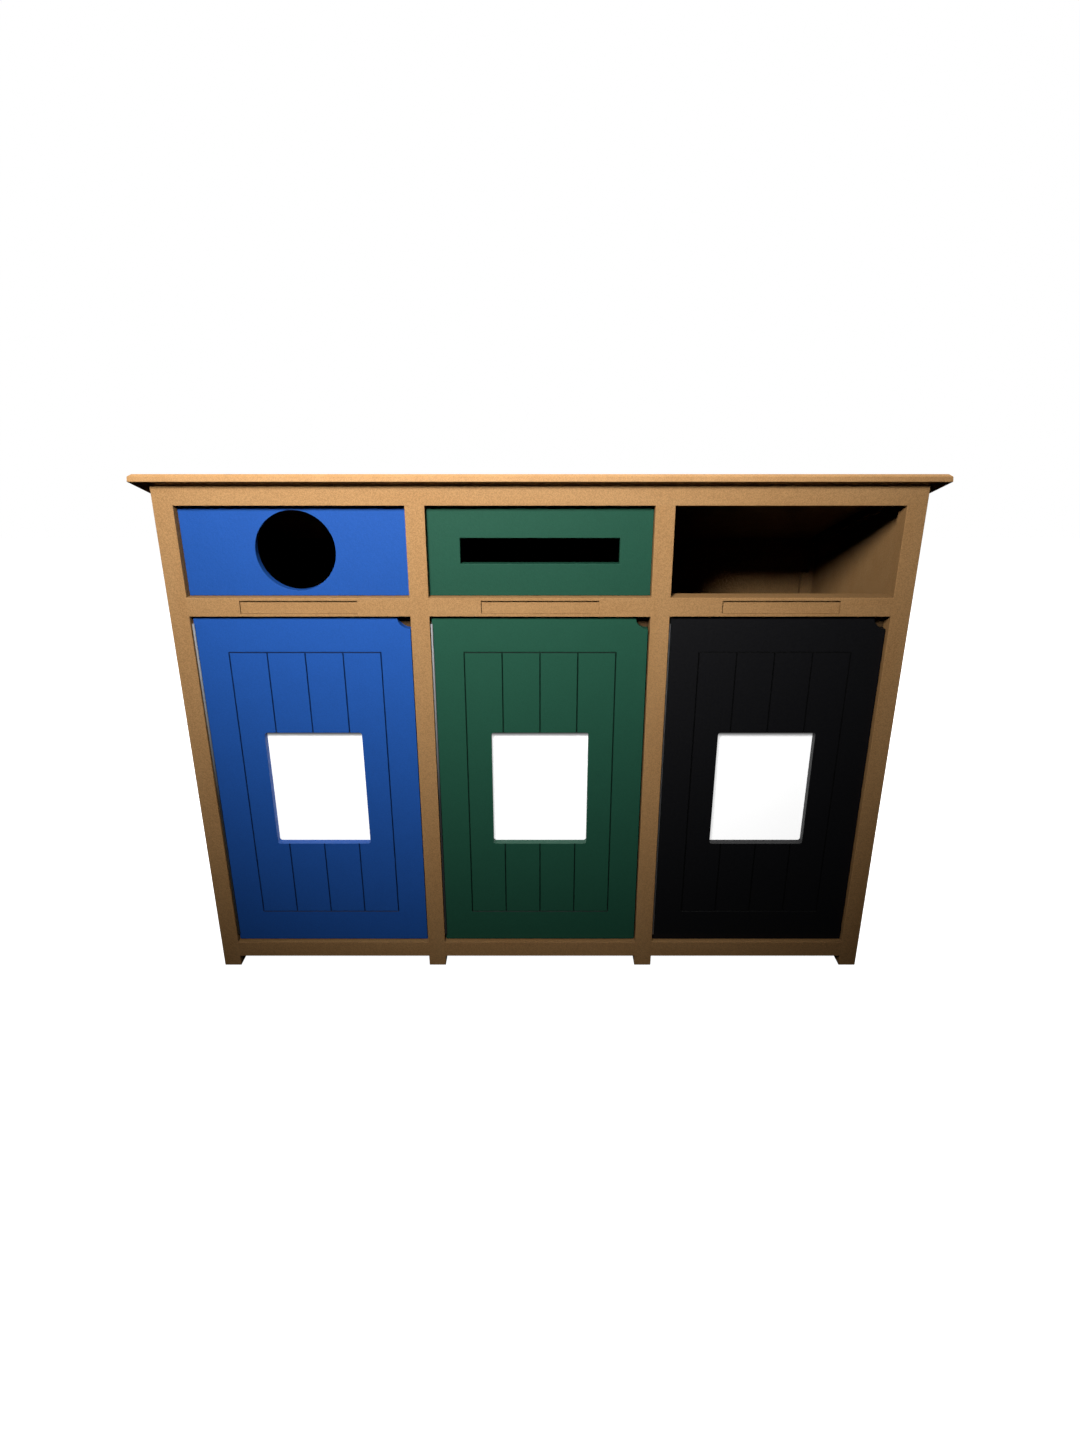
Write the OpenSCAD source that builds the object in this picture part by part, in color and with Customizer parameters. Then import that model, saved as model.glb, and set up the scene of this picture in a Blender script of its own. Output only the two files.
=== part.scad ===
// Three-bay recycling station in recycled-plastic lumber. A post-and-rail cabinet under a
// roof that falls to the rear holds two shaped throw-in panels and one open bay. Below
// them three doors with sign windows hang on continuous hinges, each in front of a
// lift-out liner. X runs along the front, Y from front to rear, Z up from the floor.

/* [Cabinet] */
// Clear width of one bay, between its posts
bay_w = 470; // [400:5:600]
// Width and depth of every post and rail
post = 41; // [36:1:56]
// Depth from the front face to the rear face
body_d = 635; // [520:5:780]
// Height of the front, from the floor to the underside of the roof
front_h = 1165; // [960:5:1420]
// Length of the feet below the bottom rails
foot_h = 27; // [22:1:60]
// Clear height of the throw-in openings
opening_h = 190; // [150:5:240]
// Thickness of the infill, side, divider, back and floor panels
panel_t = 19; // [15:1:24]
// Width and height of battens, cleats, ledgers and stops
strip = 19; // [14:1:24]
// Step from the outer face of a corner post in to its side panel
side_inset = 10; // [4:1:12]
// Step from the rear faces of the posts in to the back panels
back_inset = 3; // [0:1:8]
// Play round a panel that is dropped into its opening
panel_play = 0.5; // [0.2:0.1:1]
// Diameter of the ground anchor holes in the floor panel
anchor_d = 11; // [9:0.5:14]
// Distance from the rail to the centre line of the anchor holes
anchor_inset = 34; // [30:1:40]

/* [Roof] */
// Fall of the roof towards the rear, in degrees
roof_slope = 19; // [10:1:22]
// Thickness of the roof panel
roof_t = 17; // [12:1:30]
// Chamfer along the upper edges of the roof panel
roof_chamfer = 6.5; // [2:0.5:10]
// Roof overhang at the front
roof_front = 26; // [20:1:80]
// Roof overhang at each side
roof_side = 32; // [10:1:60]
// Roof overhang at the rear
roof_rear = 20; // [5:1:60]

/* [Throw-in openings] */
// Step from the front faces of the posts in to the infill panels
infill_inset = 19; // [8:1:20]
// Material left above and below the round hole
hole_margin = 11; // [8:1:30]
// Material left at each end of the paper slot
slot_margin = 68; // [40:1:120]
// Height of the paper slot
slot_h = 54; // [30:1:90]
// Width of the label pocket in each middle rail
label_w = 250; // [120:5:300]
// Material left above and below the label pocket
label_margin = 6.5; // [4:0.5:12]
// Depth of the label pocket
label_depth = 6; // [1:0.5:6]

/* [Doors] */
// Step from the front faces of the posts in to the doors
door_inset = 11; // [8:0.5:14]
// Thickness of a door
door_t = 19; // [15:1:24]
// Gap round a door
door_gap = 3; // [2.6:0.1:4]
// Distance from the side of a door to the grooved field
field_side = 67; // [40:1:90]
// Distance from the top and bottom of a door to the grooved field
field_end = 79.5; // [50:0.5:120]
// Number of boards that the grooves mark out
boards = 4; // [2:1:6]
// Width of a V groove at the surface
groove_w = 3; // [2:0.5:8]
// Radius of the finger notch in the upper free corner
notch_r = 27; // [20:1:35]
// Depth of the stop strip that a door closes against
stop_h = 30; // [20:1:40]
// Distance that a stop strip ends short of the posts
stop_short = 1; // [0.5:0.5:40]
// Gap between a closed door and its stop
stop_gap = 0.3; // [0.2:0.1:1]

/* [Signs] */
// Width of the sign window
window_w = 219; // [150:1:260]
// Height of the sign window
window_h = 284; // [200:1:360]
// Corner radius of the sign window
window_r = 6; // [2:1:20]
// Lap of the sign sheet behind the door, round the window
sign_lap = 10; // [6:1:14]
// Thickness of the sign sheet
sign_t = 2; // [1:0.5:3]
// Rim of the backer beyond the sign sheet
backer_rim = 11; // [9:1:20]
// Thickness of the backer
backer_t = 8; // [5:1:12]
// Play of the sign sheet in the backer's rebate
sign_play = 0.3; // [0.2:0.1:0.5]

/* [Hinges and catches] */
// Outer radius of a hinge knuckle
knuckle_r = 2.5; // [2.2:0.1:3]
// Nominal pitch of the knuckles
knuckle_pitch = 25.4; // [19:0.1:40]
// Axial gap between knuckles
knuckle_gap = 0.4; // [0.3:0.1:1]
// Radius of the hinge pin
pin_r = 1.25; // [1:0.05:1.5]
// Radial running play of the hinge pin
pin_play = 0.05; // [0.03:0.01:0.08]
// Thickness of a hinge leaf
leaf_t = 1.2; // [0.9:0.1:1.2]
// Depth of a hinge leaf behind the face of the door
leaf_w = 17; // [13:0.5:18]
// Air round a knuckle
knuckle_air = 0.1; // [0.05:0.05:0.3]
// Distance that a hinge ends short of the door
hinge_short = 16; // [5:1:60]
// Number of screws in each hinge leaf
hinge_screws = 6; // [4:1:12]
// Length of the magnetic catch along the stop
catch_w = 50; // [40:1:60]
// Height of the magnetic catch
catch_h = 14; // [10:1:20]
// Depth of the magnetic catch
catch_d = 14; // [10:1:18]
// Distance from the free side of the bay to the centre of the catch
catch_x = 90; // [70:1:140]
// Thickness of the strike plate
strike_t = 1.5; // [1:0.1:2]

/* [Liners] */
// Gap between the liner's rim and the posts
liner_side = 17; // [8:1:30]
// Gap between the liner's rim and the stop strip or the rear posts
liner_end = 32; // [20:1:60]
// Free height above the liner, below the catch
liner_headroom = 84; // [80:1:200]
// Taper of the liner, on each side
liner_taper = 24; // [10:1:40]
// Wall thickness of the liner
liner_wall = 4; // [3:0.5:6]
// Width of the turned-down rim
rim_w = 10; // [8:1:14]
// Height of the turned-down rim
rim_h = 18; // [10:1:30]
// Corner radius of the liner's foot
liner_r = 40; // [20:1:60]

/* [Screws] */
// Radius of a screw's shank
shank_r = 1.75; // [1.5:0.05:2]
// Radius of a screw's head
head_r = 3.5; // [3:0.1:4]
// Height of a raised screw head
head_h = 2.4; // [2:0.1:2.8]
// Play round a screw in its hole
screw_play = 0.1; // [0.05:0.05:0.2]
// Length of the hinge, stop and strike screws
short_screw = 16; // [12:1:18]
// Length of a screw that goes through a strip into a panel
long_screw = 30; // [26:1:32]

/* [Hidden] */

$fn = 48;
// Bays and posts are counted from the left, from 0
bays = [0, 1, 2];
tan_lumber = [0.80, 0.60, 0.40];
stainless = [0.75, 0.76, 0.78];
liner_grey = [0.22, 0.23, 0.24];
door_colours = [[0.12, 0.32, 0.70], [0.14, 0.37, 0.28], [0.08, 0.08, 0.09]];
// How far a cutting shape runs past the face that it cuts
past = 1;
// Where screws stand, as shares of the length of the piece that they hold
stop_screw_shares = [0.15, 0.6];
back_screw_shares = [0.1, 0.5, 0.9];
infill_screw_shares = [0.2, 0.8];
cleat_screw_shares = [0.25, 0.75];
backer_screw_share = 0.84;

body_w = 3 * bay_w + 4 * post;
opening_top = front_h - post;
opening_base = opening_top - opening_h;
bay_top = opening_base - post;
bay_base = foot_h + post;
rear_post_y = body_d - post;
rear_rail_z = roof_z(body_d) - post;
back_face = body_d - back_inset;
back_inner = back_face - panel_t;
floor_z = foot_h + strip;
floor_top = floor_z + panel_t;

roof_reach = body_d + roof_rear;
roof_max_y = roof_reach + (roof_t - roof_chamfer) * sin(roof_slope);
// The front faces of the posts stand here when the roof is centred on the origin
front_y = (roof_front - roof_max_y) / 2;

door_back = door_inset + door_t;
door_z = bay_base + door_gap;
door_h = bay_top - bay_base - 2 * door_gap;
door_w = bay_w - 2 * door_gap;
door_mid_z = door_z + door_h / 2;
groove_depth = groove_w / 2;
stop_y = door_back + stop_gap;
stop_back = stop_y + strip;
stop_z = bay_top - stop_h;
catch_z = stop_z - catch_h;
catch_y = door_back + strike_t + stop_gap;
catch_screw_x = catch_w / 3;
sheet_w = window_w + 2 * sign_lap;
sheet_h = window_h + 2 * sign_lap;
backer_w = sheet_w + 2 * backer_rim;
backer_h = sheet_h + 2 * backer_rim;

hinge_z = door_z + hinge_short;
hinge_h = door_h - 2 * hinge_short;
knuckles = 2 * floor(hinge_h / knuckle_pitch / 2) + 1;
knuckle_step = (hinge_h + knuckle_gap) / knuckles;
knuckle_h = knuckle_step - knuckle_gap;
axis_dx = knuckle_r + knuckle_air;
axis_y = door_inset - knuckle_r - knuckle_air;
leaf_y = axis_y + knuckle_r + 2 * knuckle_air;
leaf_back = door_inset + leaf_w;
leaf_screw_y = door_inset + door_t / 2;
pin_head_h = 1;
pin_head_r = knuckle_r - 0.4;

liner_y0 = stop_back + liner_end;
liner_y1 = rear_post_y - liner_end;
liner_h = catch_z - liner_headroom - floor_top;
rim_wide = bay_w - 2 * liner_side;
rim_deep = liner_y1 - liner_y0;

function post_x(i) = -body_w / 2 + i * (bay_w + post);
function bay_x(i) = post_x(i) + post;
function bay_end(i) = bay_x(i) + bay_w;
function bay_mid(i) = bay_x(i) + bay_w / 2;
function wall_left(i) = i == 0
    ? -body_w / 2 + side_inset + panel_t
    : post_x(i) + (post + panel_t) / 2;
function wall_right(i) = -wall_left(2 - i);
function roof_z(y) = front_h - y * tan(roof_slope);
function catch_mid(i) = bay_end(i) - catch_x;
function hinge_screw_z(k) = hinge_z + (k + 0.5) * hinge_h / hinge_screws;

module at_front() {
    translate([0, front_y, 0]) children();
}

// A block between two opposite corners
module block(low, high) {
    translate(low) cube(high - low);
}

// A profile in Y and Z, drawn out along X
module across(x0, x1, outline) {
    translate([x0, 0, 0]) rotate([90, 0, 90]) linear_extrude(x1 - x0) polygon(outline);
}

// The underside of the roof, with its own Y down the slope and its Z outwards
module on_roof() {
    translate([0, 0, front_h]) rotate([-roof_slope, 0, 0]) children();
}

module rounded_rect(w, d, r) {
    square([w - 2 * r, d], center = true);
    square([w, d - 2 * r], center = true);
    for (x = [-1, 1], y = [-1, 1]) translate([x * (w / 2 - r), y * (d / 2 - r)]) circle(r);
}

// A countersunk screw, its head flush at the origin and its point along +Z
module flat_screw(length) {
    rotate_extrude() polygon([
        [0, 0], [head_r, 0], [shank_r, head_r - shank_r],
        [shank_r, length - shank_r], [0, length]
    ]);
}

module flat_screw_hole(length) {
    r = shank_r + screw_play;
    h = head_r + screw_play;
    rotate_extrude() polygon([
        [0, -past], [h, -past], [h, 0], [r, h - r], [r, length + screw_play], [0, length + screw_play]
    ]);
}

// A raised-head screw, its seat at the origin and its point along +Z
module pan_screw(length) {
    rotate_extrude() polygon([
        [0, -head_h], [head_r - 1, -head_h], [head_r, -head_h + 1], [head_r, 0],
        [shank_r, 0], [shank_r, length - shank_r], [0, length]
    ]);
}

module pan_screw_hole(length) {
    translate([0, 0, -past]) cylinder(h = length + past + screw_play, r = shank_r + screw_play);
}

// Screw positions. Each module sets its children at every screw of its kind.
module at_frame_leaf_screws(i) {
    x = bay_x(i) + leaf_t;
    for (k = [0 : hinge_screws - 1])
        translate([x, leaf_screw_y, hinge_screw_z(k)]) rotate([0, -90, 0]) children();
}

module at_door_leaf_screws(i) {
    x = bay_x(i) + door_gap - leaf_t;
    for (k = [0 : hinge_screws - 1])
        translate([x, leaf_screw_y, hinge_screw_z(k)]) rotate([0, 90, 0]) children();
}

module at_backer_screws(i) {
    dx = (sheet_w + backer_rim) / 2;
    dz = sheet_h * backer_screw_share / 2;
    for (x = [-dx, dx], z = [-dz, 0, dz])
        translate([bay_mid(i) + x, door_back + backer_t, door_mid_z + z])
            rotate([90, 0, 0]) children();
}

module at_strike_screws(i) {
    for (x = [-catch_screw_x, catch_screw_x])
        translate([catch_mid(i) + x, door_back + strike_t, catch_z + catch_h / 2])
            rotate([90, 0, 0]) children();
}

module at_catch_screws(i) {
    for (x = [-catch_screw_x, catch_screw_x])
        translate([catch_mid(i) + x, catch_y + catch_d / 2, catch_z]) children();
}

module at_stop_screws(i) {
    for (t = stop_screw_shares)
        translate([bay_x(i) + t * bay_w, (stop_y + post) / 2, stop_z]) children();
}

module at_back_panel_screws(i) {
    for (x = [bay_x(i) + strip / 2, bay_end(i) - strip / 2], t = back_screw_shares)
        translate([x, back_face, bay_base + t * (stop_z - bay_base)]) rotate([90, 0, 0]) children();
}

module at_infill_screws(i) {
    for (x = [bay_x(i) + strip / 2, bay_end(i) - strip / 2], t = infill_screw_shares)
        translate([x, post + strip, opening_base + t * opening_h]) rotate([90, 0, 0]) children();
}

module at_cleat_screws() {
    for (i = bays, x = [wall_left(i) + strip / 2, wall_right(i) - strip / 2], t = cleat_screw_shares)
        translate([x, t * body_d, -strip]) children();
}

module at_floor_screws() {
    for (i = bays, y = [post + strip / 2, rear_post_y - strip / 2])
        translate([bay_mid(i) + bay_w / 4, y, floor_top]) rotate([180, 0, 0]) children();
}

module at_anchors() {
    for (i = [0, 2], y = [post + anchor_inset, rear_post_y - anchor_inset])
        translate([bay_mid(i), y, floor_z]) children();
}

// Frame
module front_post(i) {
    color(tan_lumber) at_front() difference() {
        block([post_x(i), 0, 0], [post_x(i) + post, post, opening_top]);
        if (i < 3) at_frame_leaf_screws(i) flat_screw_hole(short_screw);
    }
}

module rear_post(i) {
    color(tan_lumber) at_front()
        block([post_x(i), rear_post_y, 0], [post_x(i) + post, body_d, rear_rail_z]);
}

// A top rail spans the whole front or rear, its top planed to the fall of the roof
module top_rail(y, z) {
    color(tan_lumber) at_front()
        across(-body_w / 2, body_w / 2, [
            [y, z], [y + post, z], [y + post, roof_z(y + post)], [y, roof_z(y)]
        ]);
}

module middle_rail(i) {
    color(tan_lumber) at_front() difference() {
        block([bay_x(i), 0, bay_top], [bay_end(i), post, opening_base]);
        block(
            [bay_mid(i) - label_w / 2, -past, bay_top + label_margin],
            [bay_mid(i) + label_w / 2, label_depth, opening_base - label_margin]
        );
        at_stop_screws(i) flat_screw_hole(stop_h + short_screw);
    }
}

module bottom_rail(i) {
    color(tan_lumber) at_front() block([bay_x(i), 0, foot_h], [bay_end(i), post, bay_base]);
}

module rear_bottom_rails() {
    color(tan_lumber) at_front() for (i = bays)
        block([bay_x(i), rear_post_y, foot_h], [bay_end(i), body_d, bay_base]);
}

module side_bottom_rails() {
    color(tan_lumber) at_front() for (i = [0, 3])
        block([post_x(i), post, foot_h], [post_x(i) + post, rear_post_y, bay_base]);
}

// An upright panel between a front and a rear post, its top edge under the roof
module upright_panel(x, z) {
    color(tan_lumber) at_front()
        across(x, x + panel_t, [
            [post, z], [rear_post_y, z], [rear_post_y, roof_z(rear_post_y)], [post, roof_z(post)]
        ]);
}

module back_panels() {
    color(tan_lumber) at_front() difference() {
        for (i = bays)
            block(
                [bay_x(i) + panel_play, back_inner, bay_base],
                [bay_end(i) - panel_play, back_face, rear_rail_z - panel_play]
            );
        for (i = bays) at_back_panel_screws(i) pan_screw_hole(long_screw);
    }
}

module floor_panel() {
    color(tan_lumber) at_front() difference() {
        block([post_x(0) + post, post, floor_z], [post_x(3), rear_post_y, floor_top]);
        at_floor_screws() flat_screw_hole(long_screw);
        at_anchors() translate([0, 0, -past]) cylinder(h = panel_t + 2 * past, d = anchor_d);
    }
}

module floor_ledgers() {
    y0 = post + strip + panel_play;
    y1 = rear_post_y - strip - panel_play;
    color(tan_lumber) at_front() difference() {
        union() {
            for (y = [post, rear_post_y - strip])
                block([post_x(0) + post, y, foot_h], [post_x(3), y + strip, floor_z]);
            for (x = [post_x(0) + post, post_x(3) - strip])
                block([x, y0, foot_h], [x + strip, y1, floor_z]);
        }
        at_floor_screws() flat_screw_hole(long_screw);
    }
}

// Roof, with all four upper edges chamfered and the chamfers mitred at the corners
module roof_panel() {
    y0 = -roof_front / cos(roof_slope);
    y1 = roof_reach / cos(roof_slope);
    x1 = body_w / 2 + roof_side;
    c = roof_chamfer;
    color(tan_lumber) at_front() on_roof() difference() {
        intersection() {
            across(-x1, x1, [
                [y0, 0], [y1, 0], [y1, roof_t - c], [y1 - c, roof_t], [y0 + c, roof_t], [y0, roof_t - c]
            ]);
            translate([0, y1, 0]) rotate([90, 0, 0]) linear_extrude(y1 - y0) polygon([
                [-x1, 0], [x1, 0], [x1, roof_t - c], [x1 - c, roof_t], [c - x1, roof_t], [-x1, roof_t - c]
            ]);
        }
        at_cleat_screws() flat_screw_hole(long_screw);
    }
}

module roof_cleats() {
    y0 = (post + strip + panel_play + strip * sin(roof_slope)) / cos(roof_slope) + strip / 2;
    y1 = rear_post_y / cos(roof_slope) - strip;
    color(tan_lumber) at_front() on_roof() difference() {
        for (i = bays, x = [wall_left(i), wall_right(i) - strip]) block([x, y0, -strip], [x + strip, y1, 0]);
        at_cleat_screws() flat_screw_hole(long_screw);
    }
}

// Throw-in panels
module infill_panel(i) {
    y = infill_inset;
    at_front() difference() {
        block(
            [bay_x(i) + panel_play, y, opening_base + panel_play],
            [bay_end(i) - panel_play, y + panel_t, opening_top - panel_play]
        );
        at_infill_screws(i) pan_screw_hole(long_screw);
        translate([bay_mid(i), y - past, (opening_base + opening_top) / 2]) children();
    }
}

module can_opening_panel() {
    color(door_colours[0]) infill_panel(0)
        rotate([-90, 0, 0]) cylinder(h = panel_t + 2 * past, d = opening_h - 2 * hole_margin, $fn = 96);
}

module paper_opening_panel() {
    slot_w = bay_w - 2 * slot_margin;
    color(door_colours[1]) infill_panel(1)
        block([-slot_w / 2, 0, -slot_h / 2], [slot_w / 2, panel_t + 2 * past, slot_h / 2]);
}

// The front battens are rebated, so that they lie on both the panel and the post
module front_batten(x_wall, x_post, x_lap) {
    translate([0, 0, opening_base]) linear_extrude(opening_h) polygon([
        [x_wall, post], [x_post, post], [x_post, infill_inset + panel_t],
        [x_lap, infill_inset + panel_t], [x_lap, post + strip], [x_wall, post + strip]
    ]);
}

module panel_battens() {
    color(tan_lumber) at_front() difference() {
        union() {
            for (i = [0, 1]) {
                front_batten(wall_left(i), bay_x(i), bay_x(i) + strip);
                front_batten(wall_right(i), bay_end(i), bay_end(i) - strip);
            }
            for (i = bays, x = [bay_x(i), bay_end(i) - strip])
                block([x, rear_post_y, bay_base], [x + strip, back_inner, stop_z]);
        }
        for (i = [0, 1]) at_infill_screws(i) pan_screw_hole(long_screw);
        for (i = bays) at_back_panel_screws(i) pan_screw_hole(long_screw);
    }
}

// Door stops, and the catches under them
module door_stops() {
    color(tan_lumber) at_front() difference() {
        for (i = bays)
            block([bay_x(i) + stop_short, stop_y, stop_z], [bay_end(i) - stop_short, stop_back, bay_top]);
        for (i = bays) at_stop_screws(i) flat_screw_hole(stop_h + short_screw);
        for (i = bays) at_catch_screws(i) flat_screw_hole(catch_h + short_screw);
    }
}

module door_catches() {
    color(liner_grey) at_front() difference() {
        for (i = bays)
            translate([catch_mid(i) - catch_w / 2, catch_y, catch_z])
                cube([catch_w, catch_d, catch_h]);
        for (i = bays) at_catch_screws(i) flat_screw_hole(catch_h + short_screw);
    }
}

module cabinet_screws() {
    color(stainless) at_front() {
        for (i = bays) {
            at_frame_leaf_screws(i) flat_screw(short_screw);
            at_stop_screws(i) flat_screw(stop_h + short_screw);
            at_catch_screws(i) flat_screw(catch_h + short_screw);
            at_back_panel_screws(i) pan_screw(long_screw);
        }
        for (i = [0, 1]) at_infill_screws(i) pan_screw(long_screw);
        on_roof() at_cleat_screws() flat_screw(long_screw);
        at_floor_screws() flat_screw(long_screw);
    }
}

// Hinges
// The knuckles of one leaf are every second one, counted from first
module knuckle_places(i, first) {
    for (k = [first : 2 : knuckles - 1])
        translate([bay_x(i), axis_y, hinge_z + k * knuckle_step]) children();
}

module hinge_leaf(i, first, x) {
    color(stainless) at_front() difference() {
        union() {
            block([bay_x(i) + x, leaf_y, hinge_z], [bay_x(i) + x + leaf_t, leaf_back, hinge_z + hinge_h]);
            knuckle_places(i, first) {
                translate([axis_dx, 0, 0]) cylinder(h = knuckle_h, r = knuckle_r);
                block([x, 0, 0], [x + leaf_t, leaf_y - axis_y + leaf_t, knuckle_h]);
            }
        }
        translate([bay_x(i) + axis_dx, axis_y, hinge_z - past])
            cylinder(h = hinge_h + 2 * past, r = pin_r + pin_play);
        if (first == 0) at_frame_leaf_screws(i) flat_screw_hole(short_screw);
        else at_door_leaf_screws(i) flat_screw_hole(short_screw);
    }
}

module hinge_frame_leaf(i) {
    hinge_leaf(i, 0, 0);
}

module hinge_door_leaf(i) {
    hinge_leaf(i, 1, door_gap - leaf_t);
}

// The pin is staked over the first and the last knuckle
module hinge_pin(i) {
    color(stainless) at_front() translate([bay_x(i) + axis_dx, axis_y, hinge_z]) {
        cylinder(h = hinge_h, r = pin_r);
        for (z = [-pin_head_h, hinge_h]) translate([0, 0, z]) cylinder(h = pin_head_h, r = pin_head_r);
    }
}

// Doors
// A groove as a V-shaped cutter leaves it, running up or along from the point given
module groove_up(x, z, length) {
    g = groove_depth + past;
    translate([x, door_inset - past, z]) linear_extrude(length) polygon([[-g, 0], [g, 0], [0, g]]);
}

module groove_along(x, z, length) {
    g = groove_depth + past;
    translate([x, door_inset - past, z]) rotate([90, 0, 90])
        linear_extrude(length) polygon([[0, -g], [0, g], [g, 0]]);
}

module groove_corner(x, z) {
    g = groove_depth + past;
    translate([x, door_inset - past, z]) rotate([-90, 0, 0]) cylinder(h = g, r1 = g, r2 = 0);
}

module grooves(i) {
    w = door_w - 2 * field_side;
    h = door_h - 2 * field_end;
    x0 = bay_mid(i) - w / 2;
    z0 = door_mid_z - h / 2;
    for (k = [0 : boards]) groove_up(x0 + k * w / boards, z0, h);
    for (z = [z0, z0 + h]) {
        groove_along(x0, z, w);
        for (x = [x0, x0 + w]) groove_corner(x, z);
    }
}

module door_panel(i) {
    x0 = bay_x(i) + door_gap;
    color(door_colours[i]) at_front() difference() {
        block([x0, door_inset, door_z], [x0 + door_w, door_back, door_z + door_h]);
        grooves(i);
        translate([bay_mid(i), door_back + past, door_mid_z]) rotate([90, 0, 0])
            linear_extrude(door_t + 2 * past) rounded_rect(window_w, window_h, window_r);
        translate([x0 + door_w, door_inset - past, door_z + door_h]) rotate([-90, 0, 0])
            cylinder(h = door_t + 2 * past, r = notch_r);
        at_door_leaf_screws(i) flat_screw_hole(short_screw);
        at_backer_screws(i) pan_screw_hole(short_screw);
        at_strike_screws(i) flat_screw_hole(short_screw);
    }
}

module sign_sheet(i) {
    color("white") at_front() translate([bay_mid(i) - sheet_w / 2, door_back, door_mid_z - sheet_h / 2])
        cube([sheet_w, sign_t, sheet_h]);
}

// The backer is rebated for the sheet and clamps it against the door
module sign_backer(i) {
    rebate_w = sheet_w + 2 * sign_play;
    rebate_h = sheet_h + 2 * sign_play;
    color(liner_grey) at_front() difference() {
        translate([bay_mid(i) - backer_w / 2, door_back, door_mid_z - backer_h / 2])
            cube([backer_w, backer_t, backer_h]);
        translate([bay_mid(i) - rebate_w / 2, door_back - past, door_mid_z - rebate_h / 2])
            cube([rebate_w, sign_t + past, rebate_h]);
        at_backer_screws(i) pan_screw_hole(short_screw);
    }
}

module strike_plate(i) {
    color(stainless) at_front() difference() {
        translate([catch_mid(i) - catch_w / 2, door_back, catch_z])
            cube([catch_w, strike_t, catch_h]);
        at_strike_screws(i) flat_screw_hole(short_screw);
    }
}

module door_screws(i) {
    color(stainless) at_front() {
        at_door_leaf_screws(i) flat_screw(short_screw);
        at_backer_screws(i) pan_screw(short_screw);
        at_strike_screws(i) flat_screw(short_screw);
    }
}

// Liners
// A tapered, rounded shell whose foot and mouth have the sizes given
module tapered(w0, d0, w1, d1, h, r) {
    linear_extrude(h, scale = [w1 / w0, d1 / d0], slices = 1) rounded_rect(w0, d0, r);
}

module liner(i) {
    mouth_w = rim_wide - 2 * rim_w;
    mouth_d = rim_deep - 2 * rim_w;
    foot_w = mouth_w - 2 * liner_taper;
    foot_d = mouth_d - 2 * liner_taper;
    wall = 2 * liner_wall;
    inner_r = liner_r - liner_wall;
    color(liner_grey) at_front() translate([bay_mid(i), (liner_y0 + liner_y1) / 2, floor_top]) {
        difference() {
            union() {
                tapered(foot_w, foot_d, mouth_w, mouth_d, liner_h, liner_r);
                translate([0, 0, liner_h - rim_h])
                    linear_extrude(rim_h) rounded_rect(rim_wide, rim_deep, liner_r + rim_w);
            }
            translate([0, 0, liner_wall])
                tapered(foot_w - wall, foot_d - wall, mouth_w - wall, mouth_d - wall, liner_h, inner_r);
        }
    }
}

front_post(0);  // front_post_outer_left
front_post(1);  // front_post_inner_left
front_post(2);  // front_post_inner_right
front_post(3);  // front_post_outer_right
rear_post(0);  // rear_post_outer_left
rear_post(1);  // rear_post_inner_left
rear_post(2);  // rear_post_inner_right
rear_post(3);  // rear_post_outer_right
top_rail(0, opening_top);  // front_top_rail
top_rail(rear_post_y, rear_rail_z);  // rear_top_rail
middle_rail(0);  // middle_rail_left
middle_rail(1);  // middle_rail_middle
middle_rail(2);  // middle_rail_right
bottom_rail(0);  // bottom_rail_left
bottom_rail(1);  // bottom_rail_middle
bottom_rail(2);  // bottom_rail_right
rear_bottom_rails();
side_bottom_rails();
upright_panel(wall_left(0) - panel_t, bay_base);  // side_panel_left
upright_panel(wall_right(2), bay_base);  // side_panel_right
upright_panel(wall_right(0), floor_top);  // divider_left
upright_panel(wall_right(1), floor_top);  // divider_right
back_panels();
floor_panel();
floor_ledgers();
roof_panel();
roof_cleats();
can_opening_panel();
paper_opening_panel();
panel_battens();
door_stops();
hinge_frame_leaf(0);  // hinge_frame_leaf_left
hinge_frame_leaf(1);  // hinge_frame_leaf_middle
hinge_frame_leaf(2);  // hinge_frame_leaf_right
hinge_pin(0);  // hinge_pin_left
hinge_pin(1);  // hinge_pin_middle
hinge_pin(2);  // hinge_pin_right
door_catches();
cabinet_screws();
door_panel(0);  // door_panel_left
door_panel(1);  // door_panel_middle
door_panel(2);  // door_panel_right
sign_sheet(0);  // sign_sheet_left
sign_sheet(1);  // sign_sheet_middle
sign_sheet(2);  // sign_sheet_right
sign_backer(0);  // sign_backer_left
sign_backer(1);  // sign_backer_middle
sign_backer(2);  // sign_backer_right
hinge_door_leaf(0);  // hinge_door_leaf_left
hinge_door_leaf(1);  // hinge_door_leaf_middle
hinge_door_leaf(2);  // hinge_door_leaf_right
strike_plate(0);  // strike_plate_left
strike_plate(1);  // strike_plate_middle
strike_plate(2);  // strike_plate_right
door_screws(0);  // door_screws_left
door_screws(1);  // door_screws_middle
door_screws(2);  // door_screws_right
liner(0);  // liner_left
liner(1);  // liner_middle
liner(2);  // liner_right
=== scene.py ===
import bpy
import math
import numpy as np
from mathutils import Matrix, Vector


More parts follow.
